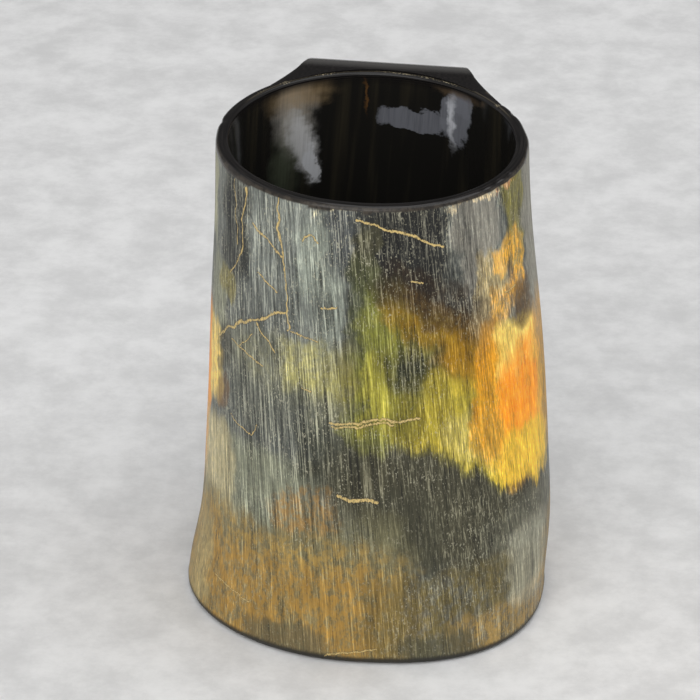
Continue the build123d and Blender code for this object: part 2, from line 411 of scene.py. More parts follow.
@dataclass
class HandleStrip:
    """Handle: a strip of the wall that leaves the rim, turns down, and bows back to the wall."""

    form: HornForm
    thickness: float = 3.8
    edge_round: float = 1.3
    root_sink: float = 0.6
    root_rise: float = 5.0
    root_reach: float = 18.4
    root_run: float = 20.6
    root_roll: float = 1.15
    root_web: float = 4.0
    root_setback: float = 1.1
    root_half_width: float = 37.4
    rim_half_width: float = 24.8
    flare_fall_off: float = 1.2
    shoulder_radius: float = 12.0
    shoulder_fall: float = 42.0
    shoulder_half_width: float = 22.6
    bend_fall_off: float = 2.0
    grip_reach: float = 73.5
    grip_radius: float = 30.0
    grip_length: float = 14.0
    grip_half_width: float = 16.5
    bow_radius: float = 26.0
    bow_turn: float = 55.0
    foot_radius: float = 9.0
    foot_length: float = 17.0
    foot_corner: float = 5.0
    foot_gap: float = 0.3
    foot_half_width: float = 14.0
    foot_hollow: float = 2.0
    closing_rounds: int = 4
    leg_rows: int = 26
    top_points: int = 41
    edge_points: int = 5
    line: np.ndarray = field(default_factory=lambda: np.zeros((0, 8)))

    def wall_back(self, height: float) -> float:
        """Reach of the outside of the horn behind the bore line."""
        return float(self.form.reach(np.array(math.pi), np.array(height)))

    def walk(self, start: np.ndarray, leg: Leg) -> np.ndarray:
        """Stations along one leg.

        The heading falls evenly along an arc and the place follows from it in closed form. The
        section's shape settles to its end values as a power of what is left of the leg.

        Args:
            start: last station: back, height, heading, half-width, hollow, web, roll and run so far.
            leg: the leg to walk.

        Returns:
            The leg's stations without the first.
        """
        share = np.linspace(0, 1, self.leg_rows)[1:]
        back, height, heading, *shape, run = start
        turned = np.radians(heading - leg.turn * share)
        side = math.copysign(leg.radius, leg.turn)
        first = math.radians(heading)
        places = (
            back + leg.length * share * np.cos(turned) + side * (math.sin(first) - np.sin(turned)),
            height + leg.length * share * np.sin(turned) - side * (math.cos(first) - np.cos(turned)),
        )
        left = (1 - share) ** leg.fall_off
        end = (leg.half_width, leg.hollow, leg.web, leg.roll)
        settled = [last + (begin - last) * left for begin, last in zip(shape, end)]
        distance = run + (leg.length + leg.radius * abs(math.radians(leg.turn))) * share
        return np.stack([*places, np.degrees(turned), *settled, distance], axis=1)

    def close_on_wall(self, back: float, height: float) -> tuple[float, float]:
        """Slant of the lower run and lean of the foot that lay the foot along the wall.

        Args:
            back: reach of the grip.
            height: height where the grip starts.

        Returns:
            Length of the slant, and the foot's lean in degrees.
        """
        bow = math.radians(self.bow_turn)
        top = height / 2
        slant = lean = 0.0
        for _ in range(self.closing_rounds):
            high = self.wall_back(top)
            lean = math.atan2(self.wall_back(top - self.foot_length) - high, self.foot_length)
            inward = self.bow_radius * (1 - math.cos(bow))
            inward += self.foot_radius * (math.cos(lean) - math.cos(bow))
            slant = (back - high - self.foot_gap - self.thickness / 2 - inward) / math.sin(bow)
            bends = self.bow_radius * math.sin(bow) + self.foot_radius * (math.sin(bow) + math.sin(lean))
            top = height - self.grip_length - bends - slant * math.cos(bow)
        return slant, math.degrees(lean)

    def stations(self) -> np.ndarray:
        """Stations of the whole strip, from its root in the wall to the end of its foot.

        Returns:
            One row for each station, as walk takes them.
        """
        back = self.wall_back(self.form.rim_height) - self.form.wall_at_rim - self.root_reach
        height = float(self.form.rim(np.array(0.0), np.array(back))) - self.root_sink - self.thickness / 2
        shape = (self.root_half_width, 0.0, self.root_web, self.root_roll)
        line = np.array([[back, height, self.root_rise, *shape, 0.0]])
        fall = math.radians(self.shoulder_fall)
        waist = (self.shoulder_half_width + self.grip_half_width) / 2
        upper = (
            Leg(
                self.rim_half_width,
                length=self.root_run,
                web=self.root_web,
                roll=self.root_roll,
                fall_off=self.flare_fall_off,
            ),
            Leg(
                self.shoulder_half_width,
                radius=self.shoulder_radius - self.thickness / 2,
                turn=self.root_rise + self.shoulder_fall,
                roll=self.root_roll,
                fall_off=self.bend_fall_off,
            ),
        )
        for leg in upper:
            line = np.concatenate([line, self.walk(line[-1], leg)])
        reach = self.grip_reach - line[-1, 0] - self.grip_radius * (1 - math.sin(fall))
        middle = (
            Leg(waist, length=reach / math.cos(fall)),
            Leg(
                self.grip_half_width,
                radius=self.grip_radius,
                turn=90 - self.shoulder_fall,
                fall_off=self.bend_fall_off,
            ),
        )
        for leg in middle:
            line = np.concatenate([line, self.walk(line[-1], leg)])
        slant, lean = self.close_on_wall(line[-1, 0], line[-1, 1])
        lower = (
            Leg(self.grip_half_width, length=self.grip_length),
            Leg(self.foot_half_width, radius=self.bow_radius, turn=self.bow_turn),
            Leg(self.foot_half_width, length=slant),
            Leg(
                self.foot_half_width,
                radius=self.foot_radius,
                turn=-self.bow_turn - lean,
                hollow=self.foot_hollow,
            ),
            Leg(self.foot_half_width, length=self.foot_length, hollow=self.foot_hollow),
        )
        for leg in lower:
            line = np.concatenate([line, self.walk(line[-1], leg)])
        return line

    def surface(self) -> Surface:
        """Closed surface: the section's loop swept along the middle line, with a cap at each end.

        The loop runs from the middle of the left edge over the top, round the right edge and back
        along the underside. Top and underside are parabolas across the strip, edges half ellipses,
        and the last part of the foot narrows as a quarter circle.

        Returns:
            The strip.
        """
        self.line = self.stations()
        back, height, heading, half_width, hollow, web, roll, run = (c[:, None] for c in self.line.T)
        to_end = np.clip(run[-1] - run, 0, self.foot_corner)
        corner = self.foot_corner - np.sqrt(self.foot_corner**2 - (self.foot_corner - to_end) ** 2)
        half_width = half_width - corner
        flat = np.linspace(-1, 1, self.top_points)[None, :]
        bend = np.linspace(0, math.pi / 2, self.edge_points, endpoint=False)[None, :]
        wide = half_width - self.edge_round
        top = -self.thickness / 2
        under = self.thickness / 2 + web
        middle = (top + under) / 2 + hollow
        half = (under - top) / 2
        edge = wide + self.edge_round * np.cos(bend)
        rise = half * np.sin(bend)
        loop_right = [-edge, wide * flat, edge[:, ::-1], edge[:, 1:], wide * -flat, -edge[:, :0:-1]]
        loop_down = [
            middle - rise,
            top + hollow * flat**2,
            middle - rise[:, ::-1],
            middle + rise[:, 1:],
            under + hollow * flat**2,
            middle + rise[:, :0:-1],
        ]
        right = np.concatenate(loop_right, axis=1)
        down = np.concatenate(loop_down, axis=1)
        slope = np.radians(heading)
        lean = np.radians(roll)
        points = np.stack(
            [
                right * np.cos(lean) - down * np.sin(lean),
                back + right * np.sin(lean) * np.sin(slope) + down * np.sin(slope) * np.cos(lean),
                height - right * np.sin(lean) * np.cos(slope) - down * np.cos(slope) * np.cos(lean),
            ],
            axis=-1,
        )
        rows, columns = right.shape
        faces = ring_faces(rows, columns, closed=False).tolist()
        near = np.arange(columns // 2)
        far = (columns - near) % columns
        first = np.stack([near + 1, near, far, (far - 1) % columns], axis=1)
        last = first[:, ::-1] + (rows - 1) * columns
        caps = [tuple(dict.fromkeys(face)) for face in np.concatenate([first, last]).tolist()]
        return Surface(points.reshape(-1, 3), faces + caps)


class Join(Enum):
    """Ways to join two closed pieces."""

    ADD = "UNION"
    CUT = "DIFFERENCE"


def joined(base: bpy.types.Object, other: bpy.types.Object, how: Join) -> None:
    """Join another closed piece to a base, or cut it away, and drop the other piece.

    Args:
        base: piece that is changed.
        other: piece that is used up.
        how: whether it is added or cut away.
    """
    step = base.modifiers.new("join", "BOOLEAN")
    step.operation = how.value
    step.solver = "MANIFOLD"
    step.object = other
    depsgraph = bpy.context.evaluated_depsgraph_get()
    mesh = bpy.data.meshes.new_from_object(base.evaluated_get(depsgraph))
    base.modifiers.remove(step)
    old = base.data
    base.data = mesh
    bpy.data.meshes.remove(old)
    mesh.name = base.name
    spent = other.data
    bpy.data.objects.remove(other)
    bpy.data.meshes.remove(spent)


@dataclass(frozen=True)
class Step:
    """Smooth step from a start to an end, as a value goes from low to high."""

    low: float
    high: float
    start: float = 0.0
    end: float = 1.0


@dataclass(frozen=True)
class Grain:
    """Soft noise: waves in a millimetre along each axis, number of finer layers and their weight."""

    waves: tuple[float, float, float]
    layers: float = 2.0
    weight: float = 0.5


class Value:
    """A shader socket that does sums: its operators make Math nodes, and plain numbers join in."""

    def __init__(self, brush: "Brush", socket: bpy.types.NodeSocket) -> None:
        """Wrap a socket of a brush's tree."""
        self.brush = brush
        self.socket = socket

    def math(self, operation: str, *others: "Value | float") -> "Value":
        """Result of one Math node on this value and others."""
        return self.brush.sum(operation, self, *others)

    def __add__(self, other: "Value | float") -> "Value":
        """Sum."""
        return self.math("ADD", other)

    __radd__ = __add__

    def __sub__(self, other: "Value | float") -> "Value":
        """Difference."""
        return self.math("SUBTRACT", other)

    def __rsub__(self, other: float) -> "Value":
        """Difference from a number."""
        return self.brush.sum("SUBTRACT", other, self)

    def __mul__(self, other: "Value | float") -> "Value":
        """Product."""
        return self.math("MULTIPLY", other)

    __rmul__ = __mul__

    def __truediv__(self, other: "Value | float") -> "Value":
        """Quotient."""
        return self.math("DIVIDE", other)

    def __rtruediv__(self, other: float) -> "Value":
        """Quotient of a number."""
        return self.brush.sum("DIVIDE", other, self)

    def least(self, other: "Value | float") -> "Value":
        """The smaller of two."""
        return self.math("MINIMUM", other)

    def most(self, other: "Value | float") -> "Value":
        """The larger of two."""
        return self.math("MAXIMUM", other)

    def ease(self, step: Step) -> "Value":
        """Smooth step taken by this value.

        Args:
            step: the limits.

        Returns:
            The eased value.
        """
        limits = {"From Min": step.low, "From Max": step.high, "To Min": step.start, "To Max": step.end}
        settings = {"interpolation_type": "SMOOTHSTEP"}
        node = self.brush.node("ShaderNodeMapRange", settings, {"Value": self, **limits})
        return self.brush.out(node, "Result")


Input = Value | float | Sequence[float]


class Brush:
    """Node tree of one material or world, with the few ways this script paints it."""

    def __init__(self, owner: bpy.types.Material | bpy.types.World) -> None:
        """Start an empty tree.

        Args:
            owner: material or world that gets the tree.
        """
        self.owner = owner
        owner.use_nodes = True
        self.tree = owner.node_tree
        self.tree.nodes.clear()

    def node(
        self, kind: str, settings: dict[str, Any] | None = None, inputs: dict[Any, Input] | None = None
    ) -> bpy.types.Node:
        """Add a node.

        Args:
            kind: node type.
            settings: properties, set first.
            inputs: values or wrapped sockets by input name or number.

        Returns:
            The node.
        """
        made = self.tree.nodes.new(kind)
        for name, setting in (settings or {}).items():
            setattr(made, name, setting)
        for key, given in (inputs or {}).items():
            if isinstance(given, Value):
                self.tree.links.new(given.socket, made.inputs[key])
            else:
                made.inputs[key].default_value = given
        return made

    def out(self, node: bpy.types.Node, key: str | int = 0) -> Value:
        """One output of a node, ready for sums."""
        return Value(self, node.outputs[key])

    def sum(self, operation: str, *parts: Value | float) -> Value:
        """One Math node."""
        return self.out(self.node("ShaderNodeMath", {"operation": operation}, dict(enumerate(parts))))

    def vector(self, operation: str, *parts: Input, result: str = "Vector") -> Value:
        """One Vector Math node."""
        node = self.node("ShaderNodeVectorMath", {"operation": operation}, dict(enumerate(parts)))
        return self.out(node, result)

    def attribute(self, name: str, result: str = "Vector") -> Value:
        """One of the piece's own attributes."""
        return self.out(self.node("ShaderNodeAttribute", {"attribute_name": name}), result)

    def split(self, vector: Value) -> tuple[Value, Value, Value]:
        """The three parts of a vector."""
        node = self.node("ShaderNodeSeparateXYZ", inputs={0: vector})
        return self.out(node, 0), self.out(node, 1), self.out(node, 2)

    def combine(self, *parts: Value | float) -> Value:
        """Vector of up to three parts."""
        return self.out(self.node("ShaderNodeCombineXYZ", inputs=dict(enumerate(parts))))

    def place(self) -> Value:
        """Place on the piece itself, in millimetres."""
        metres = self.out(self.node("ShaderNodeTexCoord"), "Object")
        return self.vector("MULTIPLY", metres, (1 / MM,) * 3)

    def noise(self, place: Value, grain: Grain) -> Value:
        """Soft noise of 0 to 1.

        Args:
            place: vector in millimetres.
            grain: waves and layers of the noise.

        Returns:
            The noise.
        """
        scaled = self.vector("MULTIPLY", place, grain.waves)
        inputs = {"Vector": scaled, "Scale": 1.0, "Detail": grain.layers, "Roughness": grain.weight}
        return self.out(self.node("ShaderNodeTexNoise", inputs=inputs), "Fac")

    def mix(self, share: Value | float, first: Input, second: Input, blend: str = "MIX") -> Value:
        """Two colours mixed by a share, or blended."""
        settings = {"data_type": "RGBA", "blend_type": blend}
        return self.out(self.node("ShaderNodeMix", settings, {0: share, 6: first, 7: second}), 2)

    def bump(self, height: Value, distance: float, strength: float = 1.0) -> Value:
        """Normal bent by a height in millimetres."""
        inputs = {"Strength": strength, "Distance": distance * MM, "Height": height}
        return self.out(self.node("ShaderNodeBump", inputs=inputs))

    def surface(self, inputs: dict[str, Input]) -> bpy.types.Material:
        """Close the tree with one surface shader.

        Args:
            inputs: inputs of the surface shader.

        Returns:
            The material.
        """
        shader = self.node("ShaderNodeBsdfPrincipled", inputs=inputs)
        end = self.node("ShaderNodeOutputMaterial")
        self.tree.links.new(shader.outputs[0], end.inputs[0])
        return self.owner


@dataclass(frozen=True)
class Patch:
    """Soft patch of colour on the horn: where it lies, how far it spreads and how it leans."""

    turn: float
    height: float
    half_turn: float
    half_height: float
    colour: Colour
    fibre: float = 0.45
    cover: float = 0.92
    soft: float = 0.3
    lean: float = 0.0
    mottled: float = 0.3
    oval: bool = False


@dataclass(frozen=True)
class Scratch:
    """Gold scratch: a run of straight strokes from turn and height to turn and height."""

    marks: tuple[tuple[float, float], ...]
    width: float = 0.35


OUTSIDE = (
    # Slate of the left and middle
    Patch(-29, 125, 14, 16, (112, 116, 110), fibre=0.45, soft=0.5),
    Patch(-14, 115, 7, 16, (136, 142, 130), fibre=0.4, soft=0.5),
    Patch(-3, 131, 6, 11, (70, 73, 74), fibre=0.5),
    Patch(-35, 101, 18, 11, (96, 99, 94), fibre=0.5, soft=0.5),
    Patch(-22, 84, 24, 11, (132, 129, 96), fibre=0.4, cover=0.55, soft=0.6, mottled=0.5),
    Patch(-17, 90, 7, 7, (176, 168, 104), fibre=0.35, cover=0.7, soft=0.6, mottled=0.6),
    Patch(-8, 82, 12, 6, (150, 144, 84), fibre=0.4, cover=0.7, soft=0.6, mottled=0.5),
    Patch(-29, 68, 24, 12, (82, 85, 80), fibre=0.55, soft=0.5),
    Patch(-38, 50, 18, 10, (132, 134, 112), fibre=0.4, cover=0.85, soft=0.5),
    Patch(-4, 62, 14, 10, (60, 62, 50), fibre=0.48, soft=0.5),
    # Left edge
    # Painted sheen along the left edge
    Patch(-77, 126, 6, 12, (158, 156, 126), fibre=0.35),
    Patch(-53, 126, 8, 14, (38, 40, 38), fibre=0.5, mottled=0.0),
    Patch(-66, 100, 8, 11, (126, 127, 106), fibre=0.4),
    Patch(-57, 107, 6, 4, (126, 116, 60), fibre=0.4, cover=0.8),
    Patch(-70, 79, 7, 9, (240, 206, 108), fibre=0.3, soft=0.6, mottled=0.3),
    Patch(-58, 85, 4, 6, (54, 52, 40), fibre=0.4, cover=0.8),
    Patch(-61, 71, 5, 5, (112, 86, 58), fibre=0.3, cover=0.8),
    # Painted orange rim light along the left edge
    Patch(-80, 68, 5, 22, (244, 160, 64), fibre=0.2, mottled=0.0),
    Patch(-67, 46, 14, 14, (178, 166, 126), fibre=0.35),
    # Dark of the top, grey and olive of the right
    Patch(17, 129, 15, 17, (28, 28, 27), fibre=0.5, cover=0.98, mottled=0.0),
    Patch(4, 122, 4, 12, (66, 64, 44), fibre=0.45),
    Patch(46, 125, 9, 16, (132, 128, 117), fibre=0.28),
    Patch(52, 111, 6, 9, (170, 150, 100), fibre=0.45, cover=0.85),
    Patch(67, 127, 7, 14, (120, 112, 40), fibre=0.38),
    # Painted grey sheen along the right edge
    Patch(85, 116, 9, 30, (134, 130, 116), fibre=0.2),
    # Dark lower right
    Patch(40, 43, 50, 15, (62, 59, 42), fibre=0.4, soft=0.3, lean=-29, mottled=0.0),
    Patch(17, 38, 9, 13, (56, 55, 42), fibre=0.3, cover=0.8, soft=0.5),
    Patch(66, 29, 16, 11, (96, 95, 80), fibre=0.34, cover=0.85, soft=0.5),
    # Olive, amber and orange swath
    Patch(42, 79, 46, 17.5, (128, 118, 40), fibre=0.36, soft=0.2, lean=-31, mottled=0.0),
    Patch(38, 68, 32, 5, (192, 170, 52), fibre=0.36, cover=0.85, soft=0.5, lean=-31),
    Patch(3, 105, 5, 14, (78, 82, 50), fibre=0.4, soft=0.6),
    Patch(8, 92, 7, 17, (118, 118, 44), fibre=0.4, soft=0.6, lean=-6),
    Patch(7, 85, 5, 9, (178, 168, 64), fibre=0.38, cover=0.65, soft=0.6),
    Patch(27, 80, 12, 8, (108, 104, 38), fibre=0.42, soft=0.5),
    Patch(45, 91, 13, 8, (184, 132, 14), fibre=0.3, soft=0.5, lean=-31),
    Patch(30, 102, 15, 4.5, (130, 96, 6), fibre=0.36, soft=0.7, lean=-34),
    Patch(28, 110, 15, 4.5, (44, 32, 19), fibre=0.42, soft=0.7, lean=-32),
    Patch(53, 100, 7, 6, (132, 116, 84), fibre=0.42, cover=0.7, soft=0.6),
    Patch(20, 91, 12, 7, (38, 41, 29), fibre=0.46, cover=0.95, soft=0.7, lean=-34, mottled=0.25, oval=True),
    Patch(34, 87, 5, 4, (84, 80, 22), fibre=0.3, cover=0.7, soft=0.7, lean=-25, oval=True),
    Patch(37, 77, 11, 7, (180, 160, 50), fibre=0.38, cover=0.75, soft=0.6, lean=-20),
    Patch(43, 67, 10, 5, (178, 164, 92), fibre=0.36, cover=0.7, soft=0.6, lean=-28),
    Patch(50, 79, 6, 14, (210, 144, 24), fibre=0.26, soft=0.6),
    Patch(68, 72, 12, 19, (238, 176, 58), fibre=0.2, soft=0.4, mottled=0.0),
    Patch(64, 90, 8, 6, (250, 220, 112), fibre=0.22, cover=0.85, soft=0.7),
    Patch(65, 76, 8, 10, (250, 146, 10), fibre=0.18, soft=0.6, mottled=0.4),
    Patch(68, 56, 14, 6.5, (230, 190, 56), fibre=0.22, soft=0.4, lean=-20, mottled=0.3),
    # Golden spots of the upper right
    Patch(66, 113, 4.5, 6, (236, 172, 50), fibre=0.36, cover=0.8, soft=0.7, mottled=0.75),
    Patch(57, 117, 2.2, 3, (224, 172, 78), fibre=0.3, soft=0.6),
    Patch(56, 104, 3.5, 4, (226, 170, 70), fibre=0.4, cover=0.8, soft=0.8, mottled=0.75),
    Patch(70, 101, 5, 6, (84, 60, 22), fibre=0.2, soft=0.6),
    # Tan foot
    Patch(-38, 15, 50, 23, (110, 106, 80), fibre=0.36, soft=0.25, mottled=0.0),
    Patch(-8, 22, 22, 21, (102, 98, 70), fibre=0.38, soft=0.4, mottled=0.3),
    Patch(-33, 16, 43, 18, (164, 134, 70), fibre=0.16, soft=0.4, mottled=0.85),
    Patch(-33, 13, 43, 13, (156, 118, 52), fibre=0.18, cover=0.7, soft=0.5, mottled=0.8),
    Patch(-20, 46, 9, 5, (148, 114, 62), fibre=0.3, cover=0.8, soft=0.6, mottled=0.9),
    Patch(38, 13, 28, 13, (102, 90, 50), fibre=0.3, soft=0.4, mottled=0.6),
    Patch(60, 7, 22, 6, (156, 128, 74), fibre=0.2, soft=0.5, mottled=0.8),
    Patch(67, 22, 9, 9, (164, 162, 142), fibre=0.3, cover=0.65, soft=0.7),
    Patch(-25, 4, 12, 4, (84, 82, 64), fibre=0.2, cover=0.8, soft=0.6),
    Patch(30, 4, 9, 4, (74, 73, 56), fibre=0.2, cover=0.8, soft=0.6),
    Patch(-73, 12, 8, 12, (166, 150, 104), fibre=0.2, cover=0.8, soft=0.5),
    # Back
    Patch(97, 74, 12, 17, (190, 140, 46), fibre=0.25, soft=0.6),
    Patch(112, 86, 12, 20, (112, 100, 48), fibre=0.36, cover=0.85, soft=0.6),
    Patch(128, 118, 20, 18, (44, 44, 40), fibre=0.5, soft=0.5),
    Patch(132, 66, 16, 20, (126, 126, 108), fibre=0.42, soft=0.6),
    Patch(163, 96, 17, 34, (56, 58, 54), fibre=0.5, soft=0.4),
    Patch(-163, 96, 17, 34, (56, 58, 54), fibre=0.5, soft=0.4),
    Patch(158, 46, 16, 12, (112, 104, 62), fibre=0.4, cover=0.85, soft=0.7, lean=-20),
    Patch(-94, 64, 10, 22, (206, 148, 62), fibre=0.25, soft=0.6),
    Patch(-110, 78, 12, 26, (124, 114, 66), fibre=0.36, cover=0.85, soft=0.6),
    Patch(-118, 122, 22, 18, (104, 108, 102), fibre=0.46, soft=0.5),
    Patch(-136, 58, 16, 22, (70, 72, 66), fibre=0.5, soft=0.6),
    Patch(134, 14, 47, 17, (158, 126, 64), fibre=0.16, soft=0.4, mottled=0.85),
    Patch(-134, 14, 47, 17, (158, 126, 64), fibre=0.16, soft=0.4, mottled=0.85),
    # Frayed edge below the rim
    Patch(50, 137.6, 14, 0.9, (214, 192, 148), fibre=0.5, cover=0.85, mottled=0.8),
    Patch(-10, 138.2, 5, 0.8, (206, 196, 160), fibre=0.5, cover=0.85, mottled=0.8),
    Patch(62, 137, 5, 1.4, (196, 132, 84), fibre=0.4, cover=0.8, mottled=0.7),
)

# Pale patches inside: painted reflections of the room on the polished back wall, and one amber streak of
# the horn itself
INSIDE_REFLECTIONS_AND_STREAK = (
    # Painted reflection on the left of the back wall, with a faint painted glow beside it
    Patch(-40, 131, 8, 10, (170, 166, 158), soft=0.7, mottled=0.0, oval=True),
    Patch(-38, 137, 12, 4, (166, 142, 106), soft=0.8, cover=0.7, oval=True),
    Patch(-35.5, 121, 5, 10.5, (206, 206, 206), soft=0.5, lean=22, oval=True),
    Patch(-31, 114, 3.4, 6, (208, 210, 214), soft=0.2, lean=22, oval=True),
    Patch(-45, 115, 6, 9, (84, 90, 74), soft=0.8, cover=0.7, oval=True),
    # Painted reflection of the sky on the right of the back wall
    Patch(12, 127.4, 15, 3.2, (122, 124, 131), soft=0.1, cover=0.9, lean=-3),
    Patch(31, 130, 7.5, 8, (126, 128, 135), soft=0.1, cover=0.9, oval=True),
    Patch(34, 136, 6, 5, (126, 128, 135), soft=0.12, cover=0.9, oval=True),
    Patch(29.3, 129, 1.6, 6.5, (220, 222, 228), soft=0.8, oval=True),
    Patch(33, 139, 9, 2, (150, 126, 98), soft=0.8, cover=0.7, oval=True),
    # Amber streak in the horn
    Patch(-8.6, 135, 0.6, 5, (116, 82, 46), soft=0.8, cover=0.7, oval=True),
)

SCRATCHES = (
    Scratch(((0, 136), (32, 127)), 0.5),
    Scratch(((-31, 139), (-28, 119), (-25, 105), (-25, 101))),
    Scratch(((-42, 128), (-29, 121)), 0.4),
    Scratch(((-39, 115), (-32, 111))),
    Scratch(((-64, 87), (-48, 98), (-26, 106)), 0.5),
    Scratch(((-40, 100), (-31, 93))),
    Scratch(((-53, 90), (-37, 88))),
    Scratch(((-48, 90), (-42, 96)), 0.25),
    Scratch(((-46, 138), (-49, 118), (-56, 110))),
    Scratch(((-53, 138), (-52, 120)), 0.25),
    Scratch(((-20, 128), (-17, 131), (-14, 129)), 0.3),
    Scratch(((-13, 109), (-8, 110)), 0.4),
    Scratch(((-24, 101), (-14, 99)), 0.25),
    Scratch(((-8, 76), (22, 76)), 0.5),
    Scratch(((-7, 75), (14, 75)), 0.4),
    Scratch(((-6, 52), (8, 51)), 0.8),
    Scratch(((-52, 67), (-43, 65), (-39, 69)), 0.3),
    Scratch(((-59, 14), (-40, 12)), 0.25),
    Scratch(((-11, 2), (8, 6)), 0.3),
    Scratch(((20, 117), (23, 117))),
    Scratch(((59, 107), (65, 107)), 0.25),
    Scratch(((-19, 83), (-16, 83)), 0.4),
)


@dataclass(frozen=True)
class FlatMap:
    """Flat map of the horn: millimetres round its mean girth, height, and one."""

    girth_radius: float = 46.0

    def skin(self, right: Value, ahead: Value, height: Value) -> Value:
        """Place on the map, measured round from where ahead points."""
        turn = right.math("ARCTAN2", ahead)
        return right.brush.combine(turn * self.girth_radius, height, 1.0)

    def spot(self, turn: float, height: float) -> np.ndarray:
        """Place on the map of a turn in degrees and a height."""
        return np.array([math.radians(turn) * self.girth_radius, height, 1.0])

    def patch_share(self, skin: Value, patch: Patch) -> Value:
        """Share of one patch: full inside its rounded box and fading over its soft edge.

        The map's third part is one, so a dot product gives each local place: the way from the
        patch's middle along its leaning side, in half-sides. The box is where the sum of the fourth
        powers of its two local places is one, and an oval where that of their squares is.

        Args:
            skin: place on the map.
            patch: the patch.

        Returns:
            The share, up to the patch's cover.
        """
        brush = skin.brush
        lean = math.radians(patch.lean)
        sides = np.array([[math.cos(lean), math.sin(lean), 0.0], [-math.sin(lean), math.cos(lean), 0.0]])
        sides /= np.array([[math.radians(patch.half_turn) * self.girth_radius], [patch.half_height]])
        sides[:, 2] = -sides @ self.spot(patch.turn, patch.height)
        places = [brush.vector("DOT_PRODUCT", skin, tuple(side), result="Value") for side in sides]
        local = brush.combine(*places)
        outer, inner = 1 + patch.soft, 1 - patch.soft
        if patch.oval:
            far = brush.vector("LENGTH", local, result="Value")
            return far.ease(Step(outer, inner, 0.0, patch.cover))
        squared = brush.vector("MULTIPLY", local, local)
        far = brush.vector("DOT_PRODUCT", squared, squared, result="Value")
        return far.ease(Step(outer**4, inner**4, 0.0, patch.cover))


@dataclass(frozen=True)
class Ground:
    """Places and noises that the layers of the horn's paint share."""

    brush: Brush
    skin: Value
    grown: Value
    right: Value
    back: Value
    height: Value
    inside: Value
    rim: Value
    hair: Value
    strand: Value
    vein: Value
    dash: Value
    blotch: Value
    mottle: Value
    grit: Value
    drift: Value

    def swing(self, weights: Weights) -> Value:
        """Sum of noises, each taken from its middle and times its weight.

        Args:
            weights: names of the noises and their weights.

        Returns:
            The sum, about nothing.
        """
        total: Value | float = 0.0
        for name, weight in weights:
            total = total + (getattr(self, name) - NOISE_MIDDLE) * weight
        return total


@dataclass(frozen=True)
class HornNoises:
    """Noises of the horn: along its grain, which twists a little up the horn, and across it."""

    twist: float = 0.0017
    along_grain: tuple[tuple[str, Grain], ...] = (
        ("hair", Grain((3.0, 3.0, 0.06), 2.0, 0.6)),
        ("strand", Grain((1.5, 1.5, 0.028), 3.0, 0.65)),
        ("vein", Grain((0.3, 0.3, 0.012), 3.0)),
        ("dash", Grain((2.4, 2.4, 0.8), 2.0, 0.6)),
    )
    across_grain: tuple[tuple[str, Grain], ...] = (
        ("blotch", Grain((0.09, 0.09, 0.05), 4.0)),
        ("mottle", Grain((0.4, 0.4, 0.26), 6.0, 0.78)),
        ("grit", Grain((2.2, 2.2, 1.3))),
        ("drift", Grain((0.13, 0.13, 0.13))),
    )
    mottle_step: Step = Step(0.41, 0.59)
    flat: FlatMap = FlatMap()

    def ground(self, brush: Brush) -> Ground:
        """Lay the ground of the horn's paint.

        Args:
            brush: brush of the material.

        Returns:
            The ground.
        """
        grown = brush.attribute("grown")
        inside = brush.attribute("inside", "Fac")
        rim = brush.attribute("rim", "Fac")
        right, back, height = brush.split(grown)
        inputs = {"Vector": grown, "Angle": height * self.twist}
        grain = brush.out(brush.node("ShaderNodeVectorRotate", {"rotation_type": "Z_AXIS"}, inputs))
        noises = {name: brush.noise(grain, waves) for name, waves in self.along_grain}
        noises |= {name: brush.noise(grown, waves) for name, waves in self.across_grain}
        noises["mottle"] = noises["mottle"].ease(self.mottle_step)
        skin = self.flat.skin(right, 0.0 - back, height)
        return Ground(brush, skin, grown, right, back, height, inside, rim, **noises)


@dataclass(frozen=True)
class PatchLayer:
    """Patches of colour on the outside, with their edges combed along the grain; a few at the left and
    right edges are painted sheen and rim light.
    """

    patches: tuple[Patch, ...] = OUTSIDE
    base: Colour = (92, 95, 90)
    base_fibre: float = 0.5
    sway: Weights = (("drift", 12.0), ("dash", 2.0))
    comb: Weights = (("hair", 2.2), ("strand", 4.4), ("vein", 6.5), ("blotch", 14.0))
    flat: FlatMap = FlatMap()

    def paint(self, ground: Ground) -> tuple[Value, Value]:
        """Paint the patches.

        Args:
            ground: shared places and noises.

        Returns:
            The colour, and how fibrous the horn is.
        """
        brush = ground.brush
        off = brush.combine(ground.swing(self.sway), ground.swing(self.comb))
        warped = brush.vector("ADD", ground.skin, off)
        colour: Input = paint(*self.base)
        fibre: Value | float = self.base_fibre
        for patch in self.patches:
            share = self.flat.patch_share(warped, patch)
            if patch.mottled:
                share = share * (ground.mottle * patch.mottled + (1.0 - patch.mottled))
            colour = brush.mix(share, colour, paint(*patch.colour))
            fibre = (patch.fibre - fibre) * share + fibre
        return colour, fibre


